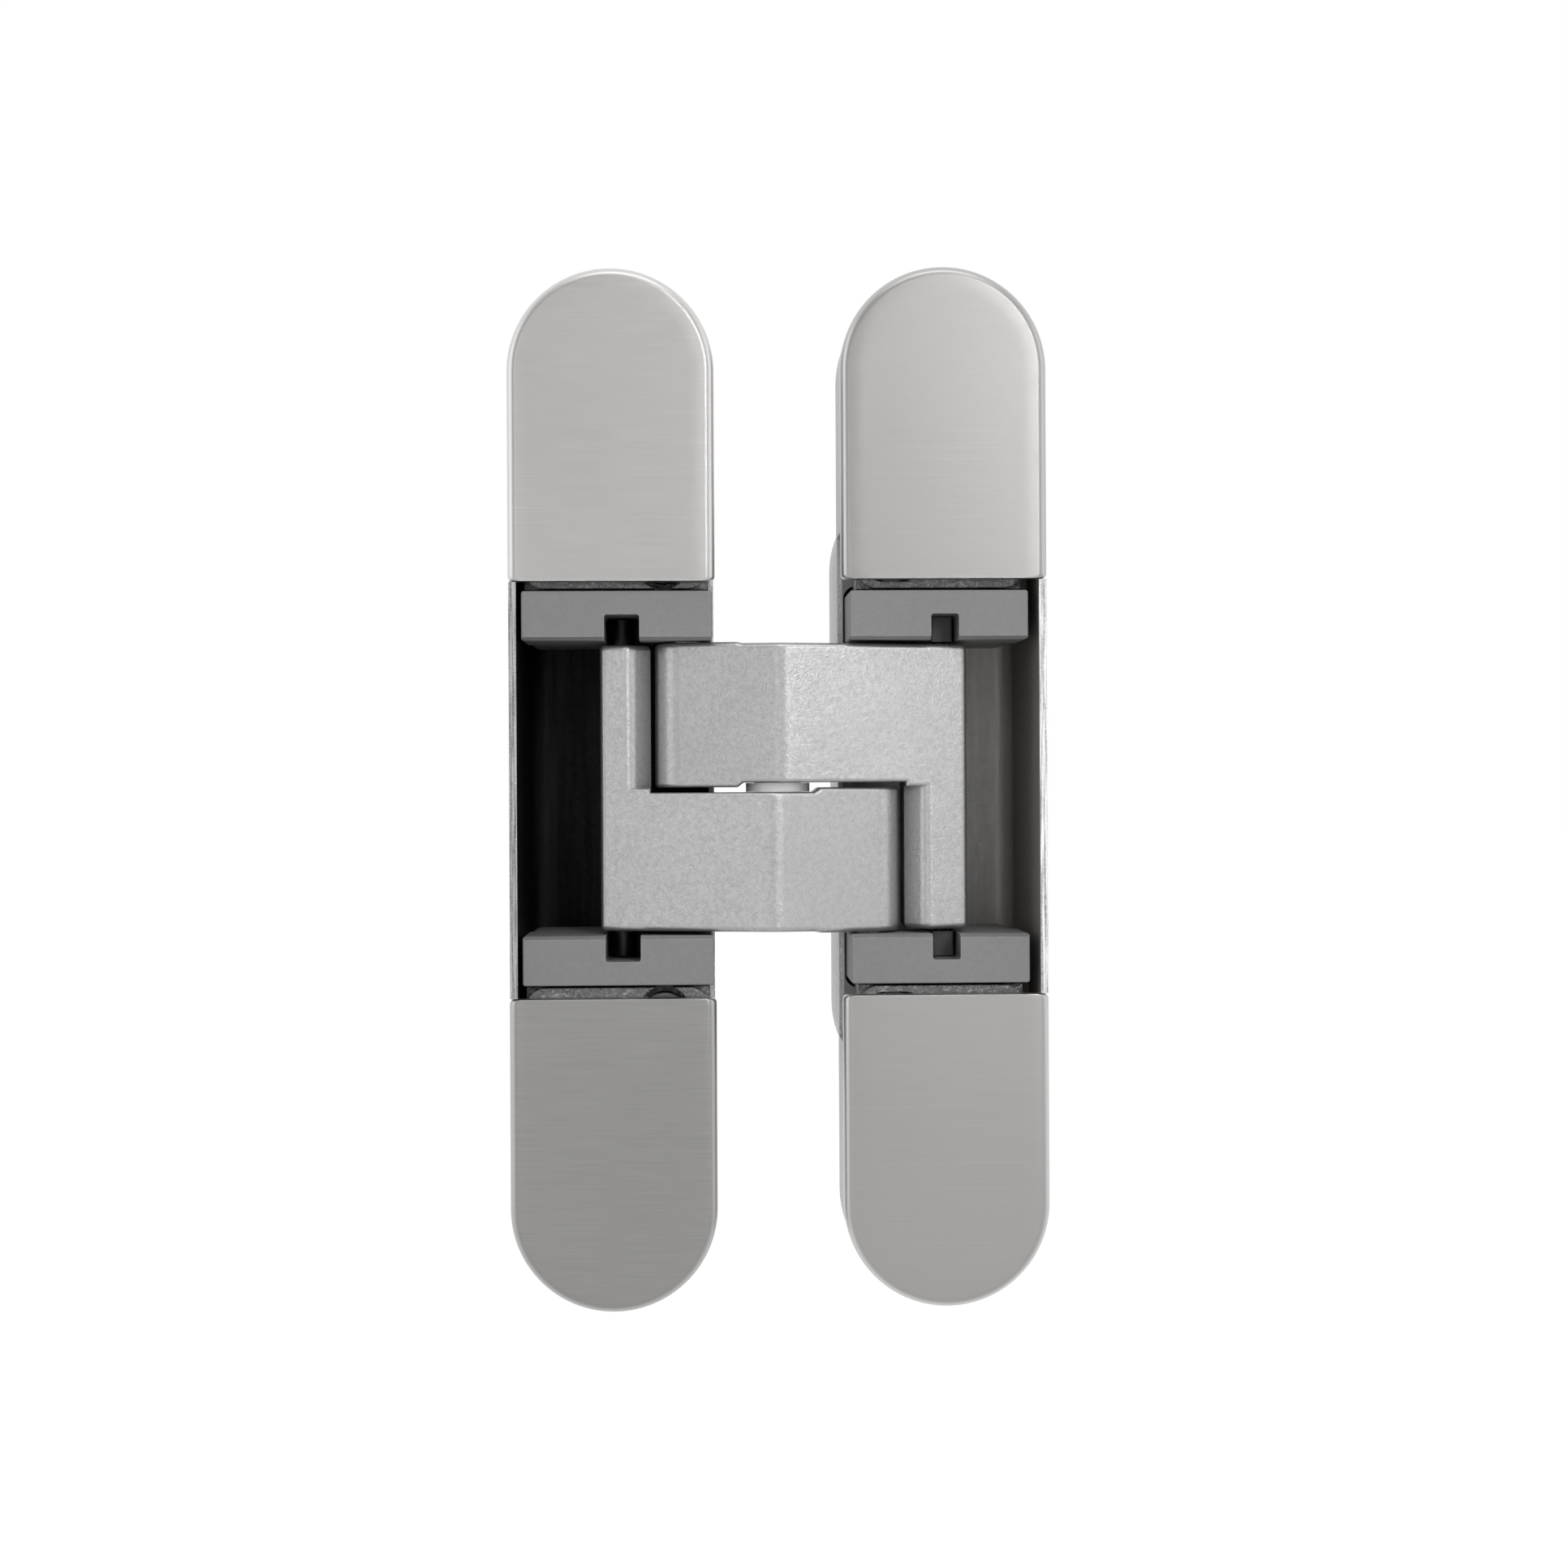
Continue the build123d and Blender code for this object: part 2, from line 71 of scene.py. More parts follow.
class End(Enum):
    """The two ends of a leaf."""

    UPPER = "upper"
    LOWER = "lower"


# Node helpers


@dataclass
class NodeSheet:
    """A node tree that is being filled, with short ways to add and join nodes."""

    tree: bpy.types.NodeTree

    def add(self, kind: str, **settings: object) -> bpy.types.Node:
        """Adds one node.

        Args:
            kind: Blender's node type name.
            settings: Properties set on the node.

        Returns:
            The new node.
        """
        node = self.tree.nodes.new(kind)
        for name, value in settings.items():
            setattr(node, name, value)
        return node

    def join(self, source: Socket, target: Socket) -> None:
        """Links an output to an input."""
        self.tree.links.new(source, target)

    def feed(self, term: Term | Colour, target: Socket) -> None:
        """Gives an input its value or its link.

        Args:
            term: A number, a colour or an output socket.
            target: The input.
        """
        if isinstance(term, Socket):
            self.join(term, target)
        elif isinstance(term, tuple):
            target.default_value = (*term, 1.0)
        else:
            target.default_value = term

    def math(self, operation: str, *terms: Term) -> Socket:
        """Adds a Math node.

        Args:
            operation: Name of the Math operation.
            terms: Numbers or output sockets, in order.

        Returns:
            The result socket.
        """
        node = self.add("ShaderNodeMath", operation=operation)
        for slot, term in zip(node.inputs, terms):
            self.feed(term, slot)
        return node.outputs[0]

    def times(self, first: Term, second: Term) -> Socket:
        """Multiplies two terms."""
        return self.math("MULTIPLY", first, second)

    def span(self, value: Socket, low: float, high: float, to: tuple[Term, Term] = (0.0, 1.0)) -> Socket:
        """Maps a range of a value onto another range, held at both ends.

        Args:
            value: Socket that is mapped.
            low: Value that gives the first result.
            high: Value that gives the second result.
            to: The two results, numbers or sockets.

        Returns:
            The mapped socket.
        """
        node = self.add("ShaderNodeMapRange", clamp=True)
        self.join(value, node.inputs["Value"])
        limits = {"From Min": low, "From Max": high, "To Min": to[0], "To Max": to[1]}
        for name, term in limits.items():
            self.feed(term, node.inputs[name])
        return node.outputs["Result"]

    def blend(self, mask: Socket, first: Colour | Socket, second: Colour | Socket) -> Socket:
        """Mixes two colours by a mask.

        Args:
            mask: Socket from 0 for the first colour to 1 for the second.
            first: Colour or socket.
            second: Colour or socket.

        Returns:
            The mixed colour socket.
        """
        node = self.add("ShaderNodeMix", data_type="RGBA")
        self.join(mask, node.inputs[MIX_MASK])
        self.feed(first, node.inputs[MIX_FIRST])
        self.feed(second, node.inputs[MIX_SECOND])
        return node.outputs[MIX_RESULT]

    def split(self, place: Socket) -> Outputs:
        """Splits a place into its X, Y and Z.

        Args:
            place: Socket with the place.

        Returns:
            The three output sockets, by name.
        """
        node = self.add("ShaderNodeSeparateXYZ")
        self.join(place, node.inputs[0])
        return node.outputs


@dataclass(frozen=True)
class Effect:
    """A shader node group with named inputs and outputs, built once and used by many finishes."""

    name: str
    inputs: tuple[tuple[str, str, float], ...]
    outputs: tuple[tuple[str, str], ...]

    def open(self) -> tuple[bpy.types.NodeTree, NodeSheet, bpy.types.Node, bpy.types.Node]:
        """Makes the empty group.

        Returns:
            The group, its sheet, its input node and its output node.
        """
        group = bpy.data.node_groups.new(self.name, "ShaderNodeTree")
        for name, kind, value in self.inputs:
            socket = group.interface.new_socket(name, in_out="INPUT", socket_type=kind)
            if kind == "NodeSocketFloat":
                socket.default_value = value
        for name, kind in self.outputs:
            group.interface.new_socket(name, in_out="OUTPUT", socket_type=kind)
        sheet = NodeSheet(group)
        return group, sheet, sheet.add("NodeGroupInput"), sheet.add("NodeGroupOutput")


VECTOR, FLOAT = "NodeSocketVector", "NodeSocketFloat"
PLACE = ("Place", VECTOR, 0.0)


def scaled(sheet: NodeSheet, place: Socket, x: Term, y: Term, z: Term) -> Socket:
    """Stretches a place by three factors.

    Args:
        sheet: Sheet that takes the nodes.
        place: Socket with the place.
        x: Factor along X.
        y: Factor along Y.
        z: Factor along Z.

    Returns:
        The stretched place.
    """
    factors = sheet.add("ShaderNodeCombineXYZ")
    for slot, term in zip(factors.inputs, (x, y, z)):
        sheet.feed(term, slot)
    node = sheet.add("ShaderNodeVectorMath", operation="MULTIPLY")
    sheet.join(place, node.inputs[0])
    sheet.join(factors.outputs[0], node.inputs[1])
    return node.outputs[0]


def noise(
    sheet: NodeSheet, place: Socket, scale: Term, detail: float, rough: float, bend: float = 0.0
) -> Socket:
    """Adds a noise texture.

    Args:
        sheet: Sheet that takes the node.
        place: Socket with the place.
        scale: Grains per unit.
        detail: Octaves.
        rough: Weight of the finer octaves.
        bend: How far the noise is bent by another noise.

    Returns:
        The noise value.
    """
    node = sheet.add("ShaderNodeTexNoise")
    sheet.join(place, node.inputs["Vector"])
    sheet.feed(scale, node.inputs["Scale"])
    node.inputs["Detail"].default_value = detail
    node.inputs["Roughness"].default_value = rough
    node.inputs["Distortion"].default_value = bend
    return node.outputs["Fac"]


def brushed_lines() -> bpy.types.NodeTree:
    """Builds the group of fine lines that brushing leaves across a cap.

    The lines are noise squeezed along Z and drawn out along X, at two widths, plus a few long scratches.

    Returns:
        The group, with outputs Lines and Scratches.
    """
    effect = Effect(
        "brushed lines",
        (PLACE, ("Lines per mm", FLOAT, 9.0), ("Line length mm", FLOAT, 9.0)),
        (("Lines", FLOAT), ("Scratches", FLOAT)),
    )
    group, sheet, given, out = effect.open()
    place = given.outputs["Place"]
    along = sheet.math("DIVIDE", 1.0, given.outputs["Line length mm"])
    fine = noise(sheet, scaled(sheet, place, along, 0.5, given.outputs["Lines per mm"]), 1.0, 3.0, 0.7)
    coarse_count = sheet.times(given.outputs["Lines per mm"], 0.28)
    coarse_place = scaled(sheet, place, sheet.times(along, 0.6), 0.5, coarse_count)
    coarse = noise(sheet, coarse_place, 1.0, 2.0, 0.5)
    lines = sheet.math("ADD", sheet.times(fine, 0.8), sheet.times(coarse, 0.2))
    long_place = scaled(sheet, place, sheet.times(along, 0.35), 0.5, given.outputs["Lines per mm"])
    scratch = sheet.span(noise(sheet, long_place, 0.8, 0.0, 0.5), 0.74, 0.82)
    sheet.join(lines, out.inputs["Lines"])
    sheet.join(scratch, out.inputs["Scratches"])
    return group


def powder_grain() -> bpy.types.NodeTree:
    """Builds the group of fine grains of a powder coat or a blasted surface.

    The grains are two noises of different size added together, and the clouds are one slow noise.

    Returns:
        The group, with outputs Grain and Cloud.
    """
    effect = Effect(
        "powder grain",
        (PLACE, ("Grains per mm", FLOAT, 6.0), ("Clouds per mm", FLOAT, 0.08)),
        (("Grain", FLOAT), ("Cloud", FLOAT)),
    )
    group, sheet, given, out = effect.open()
    place = given.outputs["Place"]
    small = noise(sheet, place, given.outputs["Grains per mm"], 2.0, 0.6)
    large = noise(sheet, place, sheet.times(given.outputs["Grains per mm"], 0.4), 1.0, 0.5)
    grain = sheet.math("ADD", sheet.times(small, 0.6), sheet.times(large, 0.4))
    cloud = noise(sheet, place, given.outputs["Clouds per mm"], 2.0, 0.5)
    sheet.join(grain, out.inputs["Grain"])
    sheet.join(cloud, out.inputs["Cloud"])
    return group


def cast_skin() -> bpy.types.NodeTree:
    """Builds the group of the mottled skin of a raw zinc casting.

    Flow marks are a noise bent by another noise; specks are the dark middles of small cells.

    Returns:
        The group, with outputs Mottle, Specks and Relief.
    """
    effect = Effect(
        "cast skin",
        (PLACE, ("Marks per mm", FLOAT, 0.7), ("Specks per mm", FLOAT, 1.6)),
        (("Mottle", FLOAT), ("Specks", FLOAT), ("Relief", FLOAT)),
    )
    group, sheet, given, out = effect.open()
    place = given.outputs["Place"]
    flow = noise(sheet, place, given.outputs["Marks per mm"], 4.0, 0.5, bend=1.6)
    mottle = sheet.span(flow, 0.38, 0.62)
    cells = sheet.add("ShaderNodeTexVoronoi")
    sheet.join(place, cells.inputs["Vector"])
    sheet.join(given.outputs["Specks per mm"], cells.inputs["Scale"])
    specks = sheet.span(cells.outputs["Distance"], 0.12, 0.3, (1.0, 0.0))
    relief = sheet.math("SUBTRACT", mottle, sheet.times(specks, 0.6))
    sheet.join(mottle, out.inputs["Mottle"])
    sheet.join(specks, out.inputs["Specks"])
    sheet.join(relief, out.inputs["Relief"])
    return group


def rubbed_and_highlit_edges() -> bpy.types.NodeTree:
    """Builds the group that finds edges, for pale edges that are partly rubbed wear and partly a painted
    highlight.

    The mask is how far the rounded-off normal turns away from the plain one, broken up by noise.

    Returns:
        The group, with output Rub.
    """
    effect = Effect(
        "rubbed and highlit edges",
        (PLACE, ("Width m", FLOAT, 0.0003), ("Breaks per mm", FLOAT, 1.2)),
        (("Rub and highlight", FLOAT),),
    )
    group, sheet, given, out = effect.open()
    bevel = sheet.add("ShaderNodeBevel", samples=4)
    sheet.join(given.outputs["Width m"], bevel.inputs["Radius"])
    facing = sheet.add("ShaderNodeNewGeometry")
    dot = sheet.add("ShaderNodeVectorMath", operation="DOT_PRODUCT")
    sheet.join(bevel.outputs["Normal"], dot.inputs[0])
    sheet.join(facing.outputs["Normal"], dot.inputs[1])
    # Edge mask for pale edges: partly rubbed wear, partly a painted highlight where edges would catch the
    # light.
    edge = sheet.span(dot.outputs["Value"], 0.98, 0.8)
    breaks = noise(sheet, given.outputs["Place"], given.outputs["Breaks per mm"], 3.0, 0.6)
    broken = sheet.times(edge, sheet.span(breaks, 0.35, 0.6, (0.25, 1.0)))
    sheet.join(broken, out.inputs["Rub and highlight"])
    return group


@dataclass
class EffectShelf:
    """Every shared effect of the hinge, each built once."""

    lines: bpy.types.NodeTree = field(default_factory=brushed_lines)
    grain: bpy.types.NodeTree = field(default_factory=powder_grain)
    skin: bpy.types.NodeTree = field(default_factory=cast_skin)
    edges: bpy.types.NodeTree = field(default_factory=rubbed_and_highlit_edges)


SHELF = EffectShelf()


# Finishes


@dataclass
class Coat:
    """One material under construction: its shader, its sheet and the place in millimetres."""

    name: str
    metallic: float
    material: bpy.types.Material = field(init=False)
    sheet: NodeSheet = field(init=False)
    shader: bpy.types.Node = field(init=False)
    place: Socket = field(init=False)

    def __post_init__(self) -> None:
        """Makes the material with its shader and its place in millimetres."""
        self.material = bpy.data.materials.new(self.name)
        self.material.use_nodes = True
        self.sheet = NodeSheet(self.material.node_tree)
        self.material.node_tree.nodes.clear()
        self.shader = self.sheet.add("ShaderNodeBsdfPrincipled")
        out = self.sheet.add("ShaderNodeOutputMaterial")
        self.sheet.join(self.shader.outputs[0], out.inputs[0])
        self.shader.inputs["Metallic"].default_value = self.metallic
        given = self.sheet.add("ShaderNodeTexCoord").outputs["Object"]
        self.place = scaled(self.sheet, given, 1 / MM, 1 / MM, 1 / MM)

    def use(self, group: bpy.types.NodeTree, **values: float) -> Outputs:
        """Places a shared effect.

        Args:
            group: The effect's node group.
            values: Values of its inputs, with _ for a space.

        Returns:
            The effect's output sockets, by name.
        """
        node = self.sheet.add("ShaderNodeGroup", node_tree=group)
        self.sheet.join(self.place, node.inputs["Place"])
        for name, value in values.items():
            node.inputs[name.replace("_", " ")].default_value = value
        return node.outputs

    def colour(self, socket: Socket) -> None:
        """Feeds the base colour."""
        self.sheet.join(socket, self.shader.inputs["Base Color"])

    def roughness(self, socket: Socket) -> None:
        """Feeds the roughness."""
        self.sheet.join(socket, self.shader.inputs["Roughness"])

    def relief(self, height: Socket, depth: float) -> None:
        """Feeds a bump.

        Args:
            height: Socket with the height from 0 to 1.
            depth: Height of 1, in metres.
        """
        bump = self.sheet.add("ShaderNodeBump")
        bump.inputs["Strength"].default_value = 1.0
        bump.inputs["Distance"].default_value = depth
        self.sheet.join(height, bump.inputs["Height"])
        self.sheet.join(bump.outputs[0], self.shader.inputs["Normal"])


def tone(level: float, warmth: float = 0.0) -> Colour:
    """Grey of a level, slightly warm where the warmth is above 0."""
    return (level * (1 + warmth), level, level * (1 - warmth))


def two_tone(sheet: NodeSheet, mask: Socket, level: float, shares: tuple[float, float]) -> Socket:
    """Runs from one share of a grey to another.

    Args:
        sheet: Sheet that takes the node.
        mask: Socket from 0 for the first share to 1 for the second.
        level: The grey.
        shares: Its two shares.

    Returns:
        The mixed grey.
    """
    return sheet.blend(mask, tone(level * shares[0]), tone(level * shares[1]))


@dataclass(frozen=True)
class BrushedCover:
    """Satin metal cap brushed across its width, with a painted highlight on its bead and side walls, and pale
    edges that are partly wear and partly a painted highlight.
    """

    name: str
    level: float
    rough: float = 0.36
    streaks: float = 0.1
    warmth: float = 0.014
    highlight_span: tuple[float, float] = (0.06, 0.3)
    relief: float = 0.000006

    def make(self) -> bpy.types.Material:
        """Builds the material: streaked tone and roughness, line relief, a painted highlight on the bead and
        side walls, and pale edges, partly wear and partly a painted highlight.

        Returns:
            The material.
        """
        coat = Coat(self.name, 1.0)
        sheet = coat.sheet
        lines = coat.use(SHELF.lines, Lines_per_mm=10.0, Line_length_mm=7.0)
        grain = coat.use(SHELF.grain, Grains_per_mm=8.0, Clouds_per_mm=0.05)
        edges = coat.use(SHELF.edges, Width_m=0.0003, Breaks_per_mm=0.8)
        dim, pale = self.level * (1 - self.streaks), self.level * (1 + self.streaks)
        streak = sheet.blend(lines["Lines"], tone(dim, self.warmth), tone(pale, self.warmth))
        cloud = sheet.span(grain["Cloud"], 0.3, 0.7)
        toned = sheet.blend(sheet.times(cloud, 0.12), streak, tone(self.level * 0.75, self.warmth))
        marked = sheet.blend(sheet.times(lines["Scratches"], 0.25), toned, tone(self.level * 1.3))
        # Painted highlight: the bead and side walls behind the front face are made paler, as if they caught
        # the light.
        start, end = self.highlight_span
        painted_wall_mask = sheet.span(sheet.split(coat.place)["Y"], FACE + start, FACE + end, (0.0, 0.8))
        rim_highlit = sheet.blend(painted_wall_mask, marked, tone(min(self.level * 1.9, 0.75), self.warmth))
        # Pale edges: partly worn, partly a painted highlight.
        rub_and_highlight = sheet.times(edges["Rub and highlight"], 0.6)
        coat.colour(sheet.blend(rub_and_highlight, rim_highlit, tone(min(self.level * 2.0, 0.85))))
        coat.roughness(sheet.span(lines["Lines"], 0.2, 0.8, (self.rough - 0.06, self.rough + 0.08)))
        coat.relief(sheet.math("ADD", lines["Lines"], sheet.times(grain["Grain"], 0.3)), self.relief)
        return coat.material


@dataclass(frozen=True)
class PowderCoat:
    """Fine-grained satin silver coat of the cast arms."""

    name: str
    level: float
    rough: float = 0.36
    grains: float = 4.6
    relief: float = 0.00004
    metallic: float = 0.85
    fleck_shares: tuple[float, float] = (0.86, 1.12)

    def make(self) -> bpy.types.Material:
        """Builds the material: grainy tone and roughness, orange-peel relief and rubbed edges.

        Returns:
            The material.
        """
        coat = Coat(self.name, self.metallic)
        sheet = coat.sheet
        grain = coat.use(SHELF.grain, Grains_per_mm=self.grains, Clouds_per_mm=0.12)
        edges = coat.use(SHELF.edges, Width_m=0.0003, Breaks_per_mm=1.5)
        fleck = sheet.span(grain["Grain"], 0.32, 0.68)
        toned = two_tone(sheet, fleck, self.level, self.fleck_shares)
        cloud = sheet.span(grain["Cloud"], 0.35, 0.65, (0.0, 0.12))
        clouded = sheet.blend(cloud, toned, tone(self.level * 0.7))
        coat.colour(sheet.blend(sheet.times(edges["Rub and highlight"], 0.15), clouded, tone(self.level * 1.25)))
        coat.roughness(sheet.span(grain["Grain"], 0.3, 0.7, (self.rough + 0.06, self.rough - 0.05)))
        coat.relief(grain["Grain"], self.relief)
        return coat.material


@dataclass(frozen=True)
class CarrierCoat:
    """Matt grey coat of a carrier's nose, pale along its rims from wear and a painted highlight, and bare
    casting behind it.
    """

    name: str
    level: float
    bare: float
    metallic: float = 0.35
    nose_end: float = 21.0
    lift: float = 0.2
    groove: float = 0.35
    groove_painted_shade: float = 0.012
    shoulder_start: float = 1.2
    shoulder_depth: float = 2.3
    fleck_shares: tuple[float, float] = (0.94, 1.05)
    mottle_shares: tuple[float, float] = (0.7, 1.0)
    relief: float = 0.00009

    def coated(self, coat: Coat, grain: Outputs, rub_and_highlight: Socket) -> Socket:
        """Tone of the grey coat: flecked, clouded, and pale along its edges, partly worn and partly a painted
        highlight.

        Args:
            coat: Material that takes the nodes.
            grain: Outputs of its powder grain.
            rub_and_highlight: Mask of its rubbed edges.

        Returns:
            The tone.
        """
        sheet = coat.sheet
        fleck = sheet.span(grain["Grain"], 0.35, 0.65)
        grainy = two_tone(sheet, fleck, self.level, self.fleck_shares)
        cloud = sheet.span(grain["Cloud"], 0.35, 0.65, (0.0, 0.25))
        clouded = sheet.blend(cloud, grainy, tone(self.level * 0.78))
        # Pale rims: partly worn, partly a painted highlight.
        return sheet.blend(sheet.times(rub_and_highlight, 0.7), clouded, tone(self.level * 2.4))

    def painted_glints(self, coat: Coat, mottle: Socket) -> Socket:
        """Tone of the bare casting: mottled, with painted glints standing for burrs that catch the light.

        Args:
            coat: Material that takes the nodes.
            mottle: Mottle of its cast skin.

        Returns:
            The tone.
        """
        sheet = coat.sheet
        metal = two_tone(sheet, mottle, self.bare, self.mottle_shares)
        # Painted glints: spots of noise made pale as highlights.
        painted_glint = noise(sheet, scaled(sheet, coat.place, 0.9, 1.0, 2.4), 1.3, 2.0, 0.5)
        return sheet.blend(sheet.span(painted_glint, 0.58, 0.72, (0.0, 0.7)), metal, tone(self.bare * 2.2))

    def make(self) -> bpy.types.Material:
        """Builds the material: grey nose, painted shade in the groove behind it and bare metal with painted
        glints on the shoulder.

        Returns:
            The material.
        """
        coat = Coat(self.name, self.metallic)
        sheet = coat.sheet
        grain = coat.use(SHELF.grain, Grains_per_mm=5.0, Clouds_per_mm=0.1)
        skin = coat.use(SHELF.skin, Marks_per_mm=1.8, Specks_per_mm=2.6)
        edges = coat.use(SHELF.edges, Width_m=0.00014, Breaks_per_mm=1.0)
        place = sheet.split(coat.place)
        height = sheet.math("ABSOLUTE", sheet.math("SUBTRACT", place["Z"], self.lift))
        deep = sheet.span(place["Y"], FACE + self.shoulder_start, FACE + self.shoulder_depth)
        beyond = sheet.span(height, self.nose_end + 0.02, self.nose_end + 0.06)
        groove_end = self.nose_end + self.groove
        shoulder = sheet.span(height, groove_end, groove_end + 0.08)
        raw = sheet.times(beyond, deep)
        # Painted shade: the groove behind the nose is made near black.
        bare = sheet.blend(shoulder, tone(self.groove_painted_shade), self.painted_glints(coat, skin["Mottle"]))
        coat.colour(sheet.blend(raw, self.coated(coat, grain, edges["Rub and highlight"]), bare))
        coat.roughness(sheet.span(raw, 0.0, 1.0, (0.55, 0.3)))
        lumps = sheet.times(skin["Relief"], sheet.span(raw, 0.0, 1.0, (0.02, 1.0)))
        coat.relief(sheet.math("ADD", lumps, sheet.times(grain["Grain"], 0.12)), self.relief)
        return coat.material


@dataclass(frozen=True)
class RawCasting:
    """Raw zinc casting: sparkling outside, scored on its rim, with painted shade or painted light in the
    pocket.
    """

    name: str
    level: float
    pocket_painted_level: float
    middle: float
    side: int
    streaks: float
    wall_painted_shade: float = 0.5
    rim_share: float = 1.0
    metallic: float = 0.6
    walls: tuple[float, float] = (-10.1, 10.25)
    shelf_half: float = 30.75
    well_half: float = 22.35
    shelf_depth: float = 10.6
    pocket_depth: float = 25.5
    wall_fade: tuple[float, float] = (23.2, 25.0)
    rim_fade: tuple[float, float] = (0.2, 0.5)
    floor_warmth: float = 0.03
    wall_warmth: float = 0.05
    mottle_shares: tuple[float, float] = (0.9, 1.06)
    score_shares: tuple[float, float] = (0.45, 1.4)
    relief: float = 0.00003

    def inner_mask(self, coat: Coat) -> Socket:
        """Mask that is 1 on the pocket's walls and floor: between its walls, its ends, its rim and its floor.

        Args:
            coat: Material that takes the nodes.

        Returns:
            The mask.
        """
        sheet = coat.sheet
        place = sheet.split(coat.place)
        across = sheet.times(sheet.math("SUBTRACT", place["X"], self.middle), float(self.side))
        low, high = self.walls
        left = sheet.span(across, low - 0.12, low - 0.03)
        right = sheet.span(across, high + 0.03, high + 0.12, (1.0, 0.0))
        height = sheet.math("ABSOLUTE", place["Z"])
        step = FACE + self.shelf_depth
        half = sheet.span(place["Y"], step, step + 0.1, (self.shelf_half, self.well_half))
        ends = sheet.math("LESS_THAN", height, half)
        rim = sheet.span(place["Y"], FACE + 0.15, FACE + 0.9)
        floor = FACE + self.pocket_depth
        back = sheet.span(place["Y"], floor, floor + 0.3, (1.0, 0.0))
        mask = sheet.times(sheet.times(left, right), ends)
        return sheet.times(mask, sheet.times(rim, back))

    def pocket(self, coat: Coat, grain: Outputs, depth: Socket) -> Socket:
        """Tone of the pocket: drawn streaks on its floor at a painted level (near black as painted shade in
        the frame, pale as painted light in the door), and painted shade on its walls.

        Args:
            coat: Material that takes the nodes.
            grain: Outputs of its powder grain.
            depth: Y of the place.

        Returns:
            The tone.
        """
        sheet = coat.sheet
        drawn = noise(sheet, scaled(sheet, coat.place, 0.9, 0.5, 0.05), 1.0, 3.0, 0.6)
        # Painted pocket level: near black as painted shade in the frame's pocket, pale as painted light in
        # the door's.
        low = tone(self.pocket_painted_level * (1 - self.streaks), self.floor_warmth)
        high = tone(self.pocket_painted_level * (1 + self.streaks), self.floor_warmth)
        painted_floor = sheet.blend(sheet.span(drawn, 0.35, 0.68), low, high)
        soft = sheet.span(grain["Cloud"], 0.35, 0.65, (0.0, 0.2))
        clouded = sheet.blend(soft, painted_floor, tone(self.pocket_painted_level * 0.6))
        start, end = self.wall_fade
        # Painted shade: the pocket's walls are darker than its floor.
        painted_wall_mask = sheet.span(depth, FACE + start, FACE + end, (1.0, 0.0))
        return sheet.blend(painted_wall_mask, clouded, tone(self.pocket_painted_level * self.wall_painted_shade, self.wall_warmth))

    def scored_rim(self, coat: Coat, mottle: Socket) -> Socket:
        """Tone of the rim: fine scored lines along it, softened by the mottle.

        Args:
            coat: Material that takes the nodes.
            mottle: Mottle of its cast skin.

        Returns:
            The tone.
        """
        sheet = coat.sheet
        level = self.level * self.rim_share
        trimmed = sheet.span(mottle, 0.2, 0.8)
        scored = noise(sheet, scaled(sheet, coat.place, 5.5, 0.6, 0.13), 1.0, 3.0, 0.6)
        lined = two_tone(sheet, sheet.span(scored, 0.4, 0.6), level, self.score_shares)
        return sheet.blend(sheet.times(trimmed, 0.35), lined, tone(level * 1.15))

    def make(self) -> bpy.types.Material:
        """Builds the material: fine sparkle outside, smooth streaks and painted shade or light in the pocket,
        rough relief and bright edges.

        Returns:
            The material.
        """
        coat = Coat(self.name, self.metallic)
        sheet = coat.sheet
        skin = coat.use(SHELF.skin, Marks_per_mm=2.6, Specks_per_mm=3.5)
        grain = coat.use(SHELF.grain, Grains_per_mm=6.0, Clouds_per_mm=0.12)
        edges = coat.use(SHELF.edges, Width_m=0.00015, Breaks_per_mm=3.5)
        inner = self.inner_mask(coat)
        bright = two_tone(sheet, skin["Mottle"], self.level, self.mottle_shares)
        sparkled = sheet.blend(sheet.times(skin["Specks"], 0.12), bright, tone(self.level * 0.5))
        depth = sheet.split(coat.place)["Y"]
        start, end = self.rim_fade
        front = sheet.span(depth, FACE + start, FACE + end, (1.0, 0.0))
        outside = sheet.blend(front, sparkled, self.scored_rim(coat, skin["Mottle"]))
        toned = sheet.blend(inner, outside, self.pocket(coat, grain, depth))
        rub_and_highlight = sheet.times(edges["Rub and highlight"], sheet.span(inner, 0.0, 1.0, (0.5, 0.0)))
        coat.colour(sheet.blend(rub_and_highlight, toned, tone(min(self.level * 1.5, 0.95))))
        rough = sheet.span(skin["Mottle"], 0.0, 1.0, (0.5, 0.36))
        coat.roughness(sheet.math("ADD", rough, sheet.times(inner, 0.12)))
        lumps = sheet.times(skin["Relief"], sheet.span(inner, 0.0, 1.0, (1.0, 0.15)))
        coat.relief(sheet.math("ADD", lumps, sheet.times(grain["Grain"], 0.5)), self.relief)
        return coat.material


